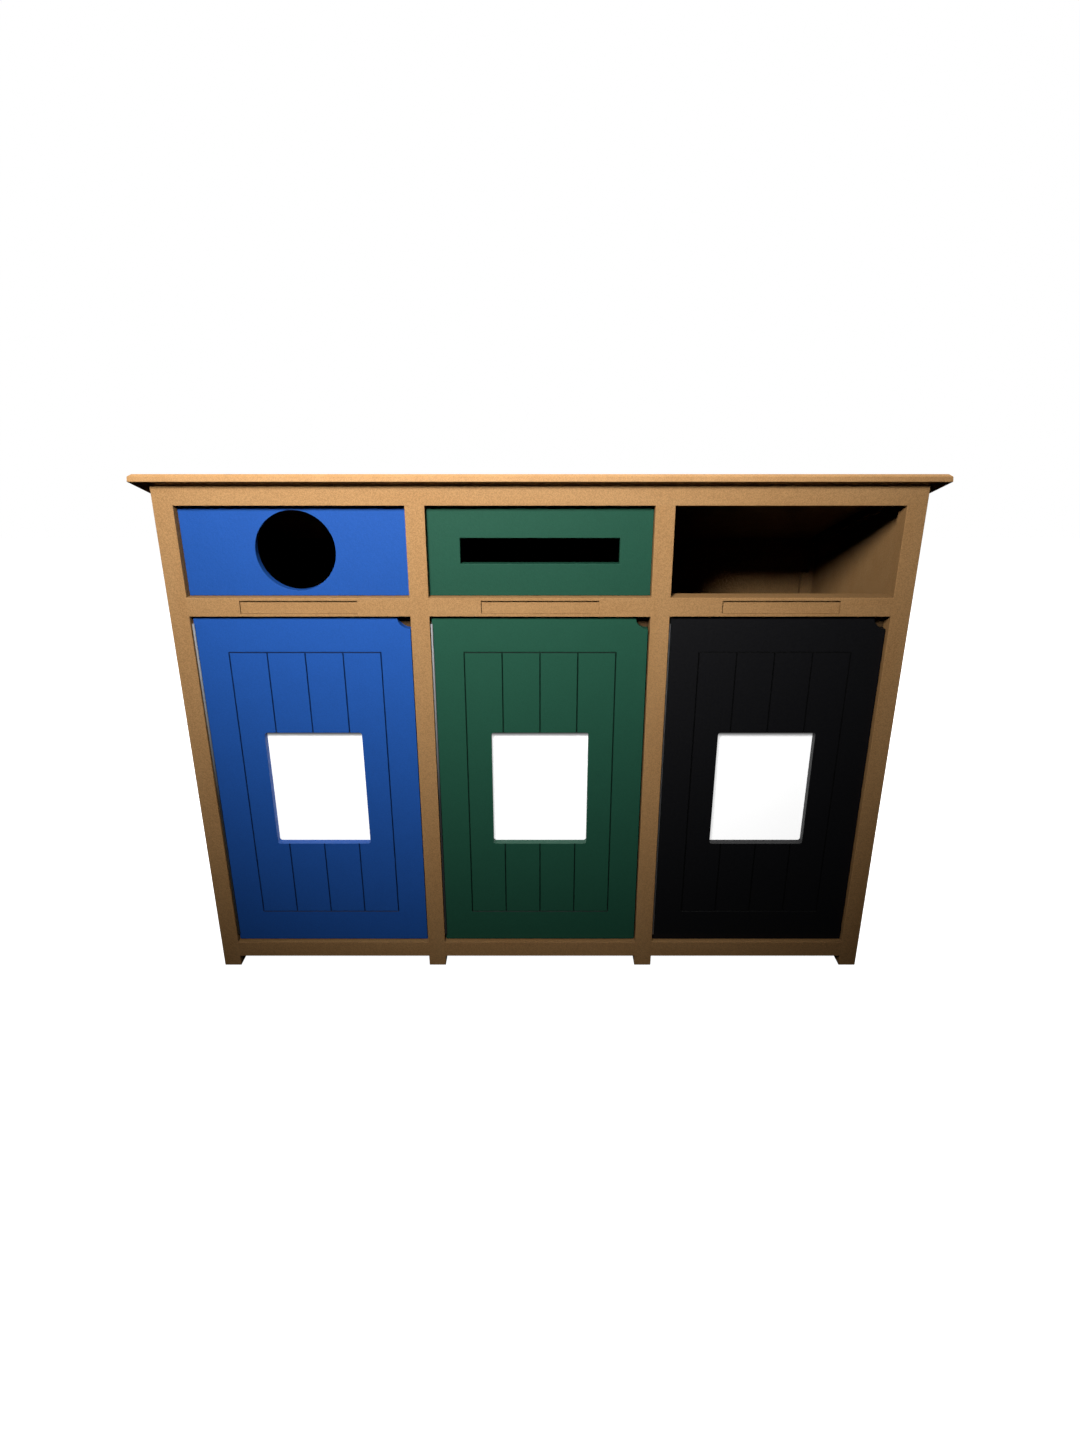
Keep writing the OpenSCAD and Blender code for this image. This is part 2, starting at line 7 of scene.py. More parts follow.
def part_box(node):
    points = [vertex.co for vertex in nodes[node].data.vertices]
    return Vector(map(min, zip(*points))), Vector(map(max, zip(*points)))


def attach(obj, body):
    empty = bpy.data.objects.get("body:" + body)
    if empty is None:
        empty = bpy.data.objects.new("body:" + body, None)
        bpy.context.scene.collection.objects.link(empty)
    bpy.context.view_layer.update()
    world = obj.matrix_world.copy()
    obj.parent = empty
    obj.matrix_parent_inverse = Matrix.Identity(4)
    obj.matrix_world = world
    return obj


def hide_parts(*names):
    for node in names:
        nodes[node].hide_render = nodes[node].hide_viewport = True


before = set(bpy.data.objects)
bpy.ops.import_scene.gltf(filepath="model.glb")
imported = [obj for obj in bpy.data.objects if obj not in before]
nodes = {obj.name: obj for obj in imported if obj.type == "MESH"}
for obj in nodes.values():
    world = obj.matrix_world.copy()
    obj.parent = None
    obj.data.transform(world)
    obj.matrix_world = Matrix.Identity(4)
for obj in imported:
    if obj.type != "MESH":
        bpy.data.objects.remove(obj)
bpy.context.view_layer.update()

BAYS = ("left", "middle", "right")


# The front and rear posts and rails: 41 mm square bars of recycled-plastic lumber,
# sawn square and screwed together. A light router cut eases the edges that a hand
# can reach, and stops where one bar butts against the next.
TAN = (0.62, 0.338, 0.135)
TAN_PALE = (0.67, 0.385, 0.165)
TAN_DULL = (0.57, 0.300, 0.112)
SPECK_SIZE = 0.0021
PIT_DEPTH = 0.0006
PEEL_SIZE = 0.006
PEEL_DEPTH = 0.0016
CLOUD_SIZE = 0.045
CLOUD_SHARE = 0.3
GLOSS = 0.25
DRAWN_OUT = 0.12
EASE = 0.0012
EASE_STEPS = 3
SAME_PLACE = 1e-4
ALONG = 0.99
SMOOTH_COSINE = 0.9
SMOOTH_BELOW = math.radians(8)
MERGE_WITHIN = 1e-6
FLAT_WITHIN = math.radians(0.5)
POST_PLACES = ("outer_left", "inner_left", "inner_right", "outer_right")


def link(tree, start, end):
    tree.links.new(start, end)


def noise_at(tree, coordinates, size, detail, stretch=(1, 1, 1)):
    mapping = tree.nodes.new("ShaderNodeMapping")
    mapping.inputs["Scale"].default_value = stretch
    noise = tree.nodes.new("ShaderNodeTexNoise")
    noise.inputs["Scale"].default_value = 1 / size
    noise.inputs["Detail"].default_value = detail
    link(tree, coordinates, mapping.inputs["Vector"])
    link(tree, mapping.outputs["Vector"], noise.inputs["Vector"])
    return noise.outputs["Fac"]


def ramp_between(tree, factor, first, last, low=0.3, high=0.7):
    ramp = tree.nodes.new("ShaderNodeValToRGB")
    ramp.color_ramp.elements[0].position = low
    ramp.color_ramp.elements[1].position = high
    ramp.color_ramp.elements[0].color = (*first, 1)
    ramp.color_ramp.elements[1].color = (*last, 1)
    link(tree, factor, ramp.inputs["Fac"])
    return ramp.outputs["Color"]


def bumped(tree, height, strength, distance, normal=None):
    bump = tree.nodes.new("ShaderNodeBump")
    bump.inputs["Strength"].default_value = strength
    bump.inputs["Distance"].default_value = distance
    link(tree, height, bump.inputs["Height"])
    if normal:
        link(tree, normal, bump.inputs["Normal"])
    return bump.outputs["Normal"]


def new_finish(name):
    material = bpy.data.materials.new(name)
    material.use_nodes = True
    tree = material.node_tree
    place = tree.nodes.new("ShaderNodeTexCoord").outputs["Object"]
    return material, tree, tree.nodes["Principled BSDF"], place


def toned(colour, factor):
    return tuple(factor * channel for channel in colour)


def grey(value):
    return (value,) * 3


def lumber(
    name, body, pale, dull, along=(1, 1, 1),
    roughness=(0.55, 0.7), peel=0.5, speck=0.72, pitted=0.38,
):
    """Solid-coloured lumber: specks, an orange peel, and clouds drawn out along the bar."""
    material, tree, shader, place = new_finish(name)
    specks = noise_at(tree, place, SPECK_SIZE, 2)
    peel_height = noise_at(tree, place, PEEL_SIZE, 3)
    clouds = noise_at(tree, place, CLOUD_SIZE, 5, along)
    mix = tree.nodes.new("ShaderNodeMix")
    mix.data_type = "RGBA"
    mix.inputs["Factor"].default_value = CLOUD_SHARE
    link(tree, ramp_between(tree, specks, toned(dull, speck), body, 0.34, 0.62), mix.inputs["A"])
    link(tree, ramp_between(tree, clouds, pale, dull, 0.35, 0.68), mix.inputs["B"])
    link(tree, mix.outputs["Result"], shader.inputs["Base Color"])
    rough = ramp_between(tree, peel_height, *map(grey, roughness))
    link(tree, rough, shader.inputs["Roughness"])
    shader.inputs["Specular IOR Level"].default_value = GLOSS
    coarse = bumped(tree, peel_height, peel, PEEL_DEPTH)
    link(tree, bumped(tree, specks, pitted, PIT_DEPTH, coarse), shader.inputs["Normal"])
    return material


def placed(name, data):
    piece = bpy.data.objects.new(name, data)
    bpy.context.scene.collection.objects.link(piece)
    return piece


def clothe(material, *names):
    for name in names:
        nodes[name].data.materials.clear()
        nodes[name].data.materials.append(material)


def hand_over(piece, material, body, slot, *stands_for):
    piece.data.materials.clear()
    piece.data.materials.append(material)
    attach(piece, body)
    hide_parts(*stands_for)


def edit(piece):
    bpy.ops.object.select_all(action="DESELECT")
    bpy.context.view_layer.objects.active = piece
    piece.select_set(True)
    bpy.context.tool_settings.mesh_select_mode = (False, True, False)
    bpy.ops.object.mode_set(mode="EDIT")


def leave_edit():
    bpy.ops.object.mode_set(mode="OBJECT")


def cleaned_copy(node, name, cuts=()):
    """A copy of a CAD node with its loose triangles joined into whole faces."""
    piece = placed(name, nodes[node].data.copy())
    edit(piece)
    bpy.ops.mesh.select_all(action="SELECT")
    bpy.ops.mesh.customdata_custom_splitnormals_clear()
    bpy.ops.mesh.remove_doubles(threshold=MERGE_WITHIN)
    bpy.ops.mesh.dissolve_limited(angle_limit=FLAT_WITHIN)
    for point, normal in cuts:
        bpy.ops.mesh.select_all(action="SELECT")
        bpy.ops.mesh.bisect(plane_co=point, plane_no=normal)
    leave_edit()
    return piece


def pick_edges(piece, wanted):
    """Selects the sharp edges for which wanted(middle, line, normals) is true."""
    mesh = piece.data
    beside = {}
    for face in mesh.polygons:
        for key in face.edge_keys:
            beside.setdefault(key, []).append(face.normal.copy())
    for item in (*mesh.polygons, *mesh.edges, *mesh.vertices):
        item.select = False
    for edge in mesh.edges:
        normals = beside.get(edge.key, ())
        if len(normals) != 2 or normals[0].dot(normals[1]) > SMOOTH_COSINE:
            continue
        start, end = (mesh.vertices[i].co for i in edge.vertices)
        if wanted((start + end) / 2, end - start, normals):
            edge.select = True
            for i in edge.vertices:
                mesh.vertices[i].select = True


def ease_edges(piece, wanted, width=EASE):
    pick_edges(piece, wanted)
    edit(piece)
    bpy.ops.mesh.bevel(offset=width, segments=EASE_STEPS, affect="EDGES", clamp_overlap=True)
    leave_edit()
    bpy.ops.object.shade_smooth_by_angle(angle=SMOOTH_BELOW)


def near(a, b):
    return abs(a - b) < SAME_PLACE


def runs_along(line, axis):
    return abs(line[axis]) > ALONG * line.length


upright = lumber("tan_lumber_upright", TAN, TAN_PALE, TAN_DULL, (1, 1, DRAWN_OUT))
lengthwise = lumber("tan_lumber_lengthwise", TAN, TAN_PALE, TAN_DULL, (DRAWN_OUT, 1, 1))
half_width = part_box("front_top_rail")[1].x


def rail_heights(*rails):
    return [(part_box(rail)[0].z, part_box(rail)[1].z) for rail in rails]


def post_edge(face_y, rails):
    """The outer vertical edges of a post, between its rails, and the edges of its foot."""
    def wanted(middle, line, normals):
        if near(middle.z, 0):
            return True
        upright_line = runs_along(line, 2) and near(middle.y, face_y)
        at_rail = any(low < middle.z < high for low, high in rails)
        return upright_line and (not at_rail or near(abs(middle.x), half_width))
    return wanted


for side, rails in (
    ("front", rail_heights("bottom_rail_left", "middle_rail_left")),
    ("rear", rail_heights("rear_bottom_rails")),
):
    for place in POST_PLACES:
        node = side + "_post_" + place
        low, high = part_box(node)
        cuts = [((0, 0, z), (0, 0, 1)) for heights in rails for z in heights]
        post = cleaned_copy(node, node + "_bar", cuts)
        ease_edges(post, post_edge(low.y if side == "front" else high.y, rails))
        hand_over(post, upright, "cabinet", "tan_lumber", node)

for side in ("front", "rear"):
    node = side + "_top_rail"
    low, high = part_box(node)
    face_y = low.y if side == "front" else high.y
    posts = [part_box(side + "_post_" + place) for place in POST_PLACES]
    over_post = [(box[0].x, box[1].x) for box in posts]
    inner_sides = [x for pair in over_post for x in pair if abs(x) < half_width - SAME_PLACE]
    cuts = [((x, 0, 0), (1, 0, 0)) for x in inner_sides]

    def top_rail_edge(middle, line, normals):
        in_bay = not any(a < middle.x < b for a, b in over_post)
        under = near(middle.z, low.z) and runs_along(line, 0) and in_bay
        return near(middle.y, face_y) and (under or runs_along(line, 2))

    rail = cleaned_copy(node, node + "_bar", cuts)
    ease_edges(rail, top_rail_edge)
    hand_over(rail, lengthwise, "cabinet", "tan_lumber", node)


def long_edge_of(node, axis, face_axis, face_at):
    """The edges along one axis at the top and bottom of a node's open face."""
    low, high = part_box(node)

    def wanted(middle, line, normals):
        on_face = near(abs(middle[face_axis]), abs(face_at))
        at_edge = near(middle.z, low.z) or near(middle.z, high.z)
        return runs_along(line, axis) and on_face and at_edge
    return wanted


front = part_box("front_top_rail")[0].y
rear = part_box("rear_top_rail")[1].y
for node in [f"{kind}_rail_{bay}" for kind in ("middle", "bottom") for bay in BAYS]:
    rail = cleaned_copy(node, node + "_bar")
    ease_edges(rail, long_edge_of(node, 0, 1, front))
    hand_over(rail, lengthwise, "cabinet", "tan_lumber", node)
for node, axis, face_axis, face_at in (
    ("rear_bottom_rails", 0, 1, rear),
    ("side_bottom_rails", 1, 0, half_width),
):
    rail = cleaned_copy(node, node + "_bars")
    ease_edges(rail, long_edge_of(node, axis, face_axis, face_at))
    hand_over(rail, lengthwise, "cabinet", "tan_lumber", node)


# The casing: side panels, dividers, back panels, floor, battens, ledgers and cleats.
# All are 19 mm sheet or strip of the same tan plastic, sawn to size and left square.
# The stop strips sit in the shade behind the doors, and their tan is painted much darker as
# painted shade.
STOP_SHADE = 0.2

sheet_tan = lumber("tan_sheet", TAN, TAN_PALE, TAN_DULL)
clothe(
    sheet_tan, "side_panel_left", "side_panel_right", "divider_left", "divider_right",
    "back_panels", "floor_panel", "panel_battens", "roof_cleats",
)
clothe(lengthwise, "floor_ledgers")
# Painted shade: the stop strips get the tan at a fifth of its brightness.
stop_shade_tones = [toned(colour, STOP_SHADE) for colour in (TAN, TAN_PALE, TAN_DULL)]
clothe(lumber("tan_stop_strip_painted_shade", *stop_shade_tones), "door_stops")


# The roof: one 17 mm sheet on cleats. Its upper edges are chamfered on a table saw
# and then rubbed down, and its lower edges are eased like those of the posts.
LONG_EDGE = 0.02
ROOF_EASE = 0.0009
ROOF_LIGHT = 1.12

# Painted light: the roof's tan is made paler than the other sheet, for the light that falls on
# the roof.
roof_lit_tones = [toned(colour, ROOF_LIGHT) for colour in (TAN, TAN_PALE, TAN_DULL)]
roof = cleaned_copy("roof_panel", "roof_board")
ease_edges(roof, lambda middle, line, normals: line.length > LONG_EDGE, ROOF_EASE)
hand_over(roof, lumber("tan_roof_sheet_painted_light", *roof_lit_tones), "cabinet", "tan_lumber", "roof_panel")


# The throw-in panels: blue and green sheet with a round hole for bottles and cans
# and a slot for paper, cut by router and eased all round at the front.
BLUE = (0.0225, 0.134, 0.57)
GREEN = (0.023, 0.124, 0.074)
# Painted shade: the throw-in panels get the door blue and green at 0.9 of their brightness, for
# the shade in their recess.
THROW_IN_SHADE = 0.9
PALER = 1.04
DULLER = 0.95
SHEET_EASE = 0.001
FACING = 0.999
SQUARE_WITHIN = 0.01


def tinted(name, body):
    return lumber(
        name, body, toned(body, PALER), toned(body, DULLER),
        roughness=(0.5, 0.62), peel=0.22, speck=0.92, pitted=0.12,
    )


def front_rim(middle, line, normals):
    """An edge between a face that looks forward and one that stands square to it."""
    forward = min(normal.y for normal in normals) < -FACING
    square = min(abs(normal.y) for normal in normals) < SQUARE_WITHIN
    return forward and square


for node, finish, tint, slot in (
    ("can_opening_panel", "blue_throw_in_shaded", BLUE, "blue_lumber"),
    ("paper_opening_panel", "green_throw_in_shaded", GREEN, "green_lumber"),
):
    panel = cleaned_copy(node, node + "_routed")
    ease_edges(panel, front_rim, SHEET_EASE)
    hand_over(panel, tinted(finish, toned(tint, THROW_IN_SHADE)), "cabinet", slot, node)


# The doors: 19 mm sheet, routed with V grooves like a field of upright boards,
# cut out for the sign, and notched at the free top corner for a fingertip. The
# groove faces are painted much darker than the face, as painted shade in the grooves.
BLACK = (0.0082, 0.0082, 0.0098)
GROOVE_DEEPER_THAN = 0.0012
GROOVE_SLANT = (0.3, 0.95)
GROOVE_SHADE = 0.22


def in_groove(mesh, face, face_y):
    slanted = GROOVE_SLANT[0] < -face.normal.y < GROOVE_SLANT[1]
    deepest = max(mesh.vertices[i].co.y for i in face.vertices)
    return slanted and deepest > face_y + GROOVE_DEEPER_THAN


black = tinted("black_sheet", BLACK)
for bay, finish, tint, slot in (
    ("left", tinted("blue_sheet", BLUE), BLUE, "blue_lumber"),
    ("middle", tinted("green_sheet", GREEN), GREEN, "green_lumber"),
    ("right", black, BLACK, "black_lumber"),
):
    node = "door_panel_" + bay
    door = cleaned_copy(node, "door_" + bay + "_board")
    ease_edges(door, front_rim, SHEET_EASE)
    hand_over(door, finish, "door_" + bay, slot, node)
    # Painted shade: the groove faces get the sheet colour at about a fifth of its brightness.
    door.data.materials.append(tinted("groove_shade_" + bay, toned(tint, GROOVE_SHADE)))
    face_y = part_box(node)[0].y
    for face in door.data.polygons:
        face.material_index = int(in_groove(door.data, face, face_y))


# The signs and their backers: a blank white plastic sheet lies in the rebate of a
# black backer, which six screws clamp against the back of the door.
SIGN_WHITE = (0.93, 0.93, 0.93)
SIGN_DULLER = 0.97
SIGN_ROUGHNESS = 0.4
SIGN_CLOUD = 0.09
SIGN_GRAIN = 0.002
SIGN_GLOW = 0.75
SIGN_SHADE = 0.02
SHADE_TALL = 0.010
SHADE_FROM = 0.008
FACING_BACK = 0.99

sign_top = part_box("sign_sheet_left")[1].z
window_top = max(
    face.center.z for face in nodes["door_panel_left"].data.polygons
    if face.normal.z < -FACING and face.center.z < sign_top
)


def by_height(tree, place, low, high, at_low, at_high):
    """A value that runs from one to the other between two heights."""
    height = tree.nodes.new("ShaderNodeSeparateXYZ")
    value = tree.nodes.new("ShaderNodeMapRange")
    limits = ("From Min", low), ("From Max", high), ("To Min", at_low), ("To Max", at_high)
    for key, limit in limits:
        value.inputs[key].default_value = limit
    link(tree, place, height.inputs["Vector"])
    link(tree, height.outputs["Z"], value.inputs["Value"])
    return value.outputs["Result"]


def sign_plastic():
    """White sheet with a painted glow, dimmed to painted shade under the top edge of its window.
    """
    material, tree, shader, place = new_finish("white_sign_painted_glow")
    cloud = noise_at(tree, place, SIGN_CLOUD, 2)
    white = ramp_between(tree, cloud, SIGN_WHITE, toned(SIGN_WHITE, SIGN_DULLER))
    link(tree, white, shader.inputs["Base Color"])
    shader.inputs["Roughness"].default_value = SIGN_ROUGHNESS
    shader.inputs["Emission Color"].default_value = (1, 1, 1, 1)
    # Painted glow and painted shade: the sheet glows, and the glow fades out just under the
    # window's top edge.
    shade_top = window_top - SHADE_FROM
    glow = by_height(tree, place, shade_top - SHADE_TALL, shade_top, SIGN_GLOW, SIGN_SHADE)
    link(tree, glow, shader.inputs["Emission Strength"])
    grain = noise_at(tree, place, SIGN_GRAIN, 2)
    link(tree, bumped(tree, grain, 0.05, 0.0001), shader.inputs["Normal"])
    return material


clothe(sign_plastic(), *("sign_sheet_" + bay for bay in BAYS))


def back_rim(middle, line, normals):
    return line.length > LONG_EDGE and max(normal.y for normal in normals) > FACING_BACK


for bay in BAYS:
    node = "sign_backer_" + bay
    backer = cleaned_copy(node, node + "_plate")
    ease_edges(backer, back_rim)
    hand_over(backer, black, "door_" + bay, "black_lumber", node)


# The hinges: full-length stainless hinges with rolled knuckles on a staked pin,
# one leaf screwed to the post and one to the edge of the door.
STEEL = (0.66, 0.67, 0.68)
STEEL_DULLER = 0.86
BRUSHING = 0.0004
STEEL_ROUGHNESS = (0.38, 0.52)
UPRIGHT_BRUSHING = (1, 1, 0.02)
PAINTED_LIGHT_BY_HEIGHT = (0.45, 0.80, 0.12, 1.15)


def satin_steel(name, brushed, metallic=0.85, painted_by_height=None):
    """Brushed steel, which may carry painted light and shade: dark at one height and bright at
    another.
    """
    material, tree, shader, place = new_finish(name)
    shader.inputs["Metallic"].default_value = metallic
    brushing = noise_at(tree, place, BRUSHING, 3, brushed)
    colour = ramp_between(tree, brushing, STEEL, toned(STEEL, STEEL_DULLER))
    if painted_by_height:
        scaled = tree.nodes.new("ShaderNodeVectorMath")
        scaled.operation = "SCALE"
        link(tree, colour, scaled.inputs[0])
        link(tree, by_height(tree, place, *painted_by_height), scaled.inputs["Scale"])
        colour = scaled.outputs["Vector"]
    link(tree, colour, shader.inputs["Base Color"])
    rough = ramp_between(tree, brushing, *map(grey, STEEL_ROUGHNESS))
    link(tree, rough, shader.inputs["Roughness"])
    link(tree, bumped(tree, brushing, 0.1, 0.00005), shader.inputs["Normal"])
    return material


# Painted light and shade: the left and middle hinges are made less metallic and painted dark low
# down and bright high up. The right hinge is plain steel without this paint.
hinge_painted_light = satin_steel("hinge_stainless_painted_light", UPRIGHT_BRUSHING, 0.3, PAINTED_LIGHT_BY_HEIGHT)
hinge_plain_steel = satin_steel("hinge_plain_steel", UPRIGHT_BRUSHING, 0.9)
for bay, finish in zip(BAYS, (hinge_painted_light, hinge_painted_light, hinge_plain_steel)):
    hinge = ("hinge_frame_leaf_", "hinge_pin_", "hinge_door_leaf_")
    clothe(finish, *(part + bay for part in hinge))


# The catches: a magnet between two pole plates in a black moulded housing, screwed
# up under each stop. A thin stainless strike plate on the door closes up to it.
CATCH_BLACK = (0.02, 0.02, 0.022)
CATCH_PEEL = 0.0015
CATCH_EDGE = 0.01
HOUSING_EASE = 0.001
STRIKE_EASE = 0.0004
PLASTIC_CLOUD = 0.06
PLASTIC_PALER = 1.3
PLASTIC_ROUGHNESS = (0.4, 0.55)
POLE_EASE = 0.0003
POLE_PROUD = 0.00015
POLE_WIDE = 0.034
POLE_TALL = 0.0016
POLE_DEEP = 0.008
POLE_APART = 0.0075


def moulded(name, colour, peel_size):
    material, tree, shader, place = new_finish(name)
    cloud = noise_at(tree, place, PLASTIC_CLOUD, 3)
    clouded = ramp_between(tree, cloud, colour, toned(colour, PLASTIC_PALER), 0.35)
    link(tree, clouded, shader.inputs["Base Color"])
    peel = noise_at(tree, place, peel_size, 2)
    rough = ramp_between(tree, peel, *map(grey, PLASTIC_ROUGHNESS))
    link(tree, rough, shader.inputs["Roughness"])
    link(tree, bumped(tree, peel, 0.2, 0.0003), shader.inputs["Normal"])
    return material


def joined(name, pieces):
    bpy.ops.object.select_all(action="DESELECT")
    for piece in pieces:
        piece.select_set(True)
    bpy.context.view_layer.objects.active = pieces[0]
    bpy.ops.object.join()
    pieces[0].name = name
    return pieces[0]


def moved_copy(piece, matrix):
    """A copy with its own mesh, already in its place."""
    copy = placed(piece.name, piece.data.copy())
    copy.data.transform(matrix)
    return copy


def discard(piece):
    bpy.data.objects.remove(piece)


def catch_edge(middle, line, normals):
    return line.length > CATCH_EDGE


catch_plastic = moulded("catch_plastic", CATCH_BLACK, CATCH_PEEL)
housings = cleaned_copy("door_catches", "catch_housings")
ease_edges(housings, catch_edge, HOUSING_EASE)
hand_over(housings, catch_plastic, "cabinet", "catch_plastic", "door_catches")

strike_steel = satin_steel("strike_stainless", (0.02, 1, 1))
for bay in BAYS:
    node = "strike_plate_" + bay
    strike = cleaned_copy(node, node + "_pressed")
    ease_edges(strike, catch_edge, STRIKE_EASE)
    hand_over(strike, strike_steel, "door_" + bay, "stainless_steel", node)

bpy.ops.object.select_all(action="DESELECT")
bpy.ops.mesh.primitive_cube_add(size=1, location=(0, 0, 0))
pole = bpy.context.active_object
bpy.ops.object.mode_set(mode="EDIT")
bpy.ops.transform.resize(value=(POLE_WIDE, POLE_DEEP, POLE_TALL), center_override=(0, 0, 0))
bpy.ops.mesh.bevel(offset=POLE_EASE, segments=2, affect="EDGES")
leave_edit()
poles = []
catch_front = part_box("door_catches")[0].y
for bay in BAYS:
    strike_low, strike_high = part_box("strike_plate_" + bay)
    middle = (strike_low + strike_high) / 2
    for side in (-0.5, 0.5):
        place = (middle.x, catch_front - POLE_PROUD + POLE_DEEP / 2, middle.z + side * POLE_APART)
        poles.append(moved_copy(pole, Matrix.Translation(place)))
discard(pole)
poles = joined("catch_pole_plates", poles)
poles.data.materials.append(strike_steel)
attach(poles, "cabinet")


# The screws: stainless wood screws, countersunk with a round recess in the hinges,
# stops, catches, floor and roof, and raised-headed with a six-lobed recess behind
# the panels and the signs.
SCREW_SIDES = 24
HEAD_RADIUS = 0.0035
HEAD_RAISED = 0.0024
HEAD_RIM = 0.0010
HEAD_SHOULDER = (0.0003, 0.0004)
HEAD_MARGIN = 0.0005
SHANK_RADIUS = 0.00175
TIP_RADIUS = 0.0001
RECESS_RADIUS = 0.0019
RECESS_NECK = 0.0014
RECESS_DEPTH = 0.0013
RECESS_TAPER = 0.85
LOBE_ANGLE = 60
SCREW_SMOOTH = math.radians(35)
END_WITHIN = 1e-5
DOOR_SCREWS = [("door_screws_" + bay, "door_" + bay) for bay in BAYS]


def drawn_down(rings):
    """Draws the selected ring of edges on through rings of (radius, height)."""
    radius, height = rings[0]
    for next_radius, next_height in rings[1:]:
        bpy.ops.mesh.extrude_edges_indiv()
        bpy.ops.transform.translate(value=(0, 0, next_height - height))
        scale = next_radius / radius
        bpy.ops.transform.resize(value=(scale, scale, 1), center_override=(0, 0, next_height))
        radius, height = next_radius, next_height


def select_where(piece, wanted):
    """Selects the vertices for which wanted(place) is true, in edit mode."""
    leave_edit()
    mesh = piece.data
    for item in (*mesh.polygons, *mesh.edges):
        item.select = False
    for vertex in mesh.vertices:
        vertex.select = wanted(vertex.co)
    bpy.context.tool_settings.mesh_select_mode = (True, False, False)
    bpy.ops.object.mode_set(mode="EDIT")


def lobed_screw(name, rings):
    """A screw pointing down from its head, the first ring. Only a raised head gets lobes."""
    top = rings[0][1]
    bpy.ops.object.select_all(action="DESELECT")
    bpy.ops.mesh.primitive_circle_add(
        vertices=SCREW_SIDES, radius=rings[0][0], fill_type="NGON", location=(0, 0, 0)
    )
    screw = bpy.context.active_object
    screw.name = name
    screw.data.transform(Matrix.Translation((0, 0, top)))
    edit(screw)
    bpy.ops.mesh.select_all(action="SELECT")
    drawn_down(rings)
    bpy.ops.mesh.merge(type="CENTER")
    bpy.context.tool_settings.mesh_select_mode = (False, False, True)
    leave_edit()
    for face in screw.data.polygons:
        face.select = len(face.vertices) == SCREW_SIDES
    bpy.ops.object.mode_set(mode="EDIT")
    bpy.ops.mesh.inset(thickness=rings[0][0] - RECESS_RADIUS)
    for turn, radius in (
        (LOBE_ANGLE / 2, RECESS_NECK),
        (LOBE_ANGLE / 4, (RECESS_RADIUS + RECESS_NECK) / 2),
    ):
        def between_lobes(co):
            angle = math.degrees(math.atan2(co.y, co.x)) % LOBE_ANGLE
            on_turn = min(abs(angle - turn), abs(angle - (LOBE_ANGLE - turn))) < 1
            out = math.hypot(co.x, co.y)
            on_rim = RECESS_RADIUS - END_WITHIN < out < RECESS_RADIUS + END_WITHIN
            return near(co.z, top) and on_rim and on_turn

        select_where(screw, between_lobes)
        scale = radius / RECESS_RADIUS
        bpy.ops.transform.resize(value=(scale, scale, 1), center_override=(0, 0, top))
    bpy.context.tool_settings.mesh_select_mode = (False, False, True)
    leave_edit()
    for face in screw.data.polygons:
        face.select = len(face.vertices) == SCREW_SIDES
    bpy.ops.object.mode_set(mode="EDIT")
    bpy.ops.mesh.extrude_region_move(TRANSFORM_OT_translate={"value": (0, 0, -RECESS_DEPTH)})
    bpy.ops.transform.resize(
        value=(RECESS_TAPER, RECESS_TAPER, 1), center_override=(0, 0, top - RECESS_DEPTH)
    )
    bpy.ops.mesh.select_all(action="SELECT")
    bpy.ops.mesh.normals_make_consistent(inside=False)
    leave_edit()
    bpy.ops.object.shade_smooth_by_angle(angle=SCREW_SMOOTH)
    return screw


def islands(mesh):
    """The place of each separate solid of a CAD node, as arrays of its points."""
    points = np.array([vertex.co for vertex in mesh.vertices])
    keys = {}
    which = [keys.setdefault(tuple(row), len(keys)) for row in np.round(points, 6)]
    leader = list(range(len(keys)))

    def find(i):
        while leader[i] != i:
            leader[i] = leader[leader[i]]
            i = leader[i]
        return i

    for edge in mesh.edges:
        leader[find(which[edge.vertices[0]])] = find(which[edge.vertices[1]])
    groups = {}
    for key, i in keys.items():
        groups.setdefault(find(i), []).append(key)
    return [np.array(group) for group in groups.values()]


def screw_axis(points):
    """The head centre, the direction to the tip, the length, and whether the head is raised."""
    middle = points.mean(0)
    line = np.linalg.svd(points - middle)[2][0]
    along = (points - middle) @ line
    off = np.linalg.norm(points - middle - np.outer(along, line), axis=1)
    at_end, at_start = along > along.max() - END_WITHIN, along < along.min() + END_WITHIN
    if off[at_end].max() > off[at_start].max():
        line, along = -line, -along
    at_head = points[along < along.min() + END_WITHIN]
    centre = at_head.mean(0)
    raised = np.linalg.norm(at_head - centre, axis=1).max() < HEAD_RADIUS - HEAD_MARGIN
    return Vector(centre), Vector(line), along.max() - along.min(), raised


screw_steel = satin_steel("screw_stainless", (1, 1, 1))
screw_kinds = {}


def screw_of(length, raised):
    key = (round(length, 4), bool(raised))
    if key not in screw_kinds:
        below = length - (HEAD_RAISED if raised else 0)
        rings = [(HEAD_RADIUS, 0), (SHANK_RADIUS, SHANK_RADIUS - HEAD_RADIUS)]
        if raised:
            rings = [
                (HEAD_RADIUS - HEAD_RIM, HEAD_RAISED),
                (HEAD_RADIUS - HEAD_SHOULDER[0], HEAD_RAISED - HEAD_SHOULDER[1]),
                (HEAD_RADIUS, HEAD_RAISED - HEAD_RIM), (HEAD_RADIUS, 0), (SHANK_RADIUS, 0),
            ]
        rings += [(SHANK_RADIUS, SHANK_RADIUS - below), (TIP_RADIUS, -below)]
        screw_kinds[key] = lobed_screw(f"screw_{len(screw_kinds)}", rings)
    return screw_kinds[key]


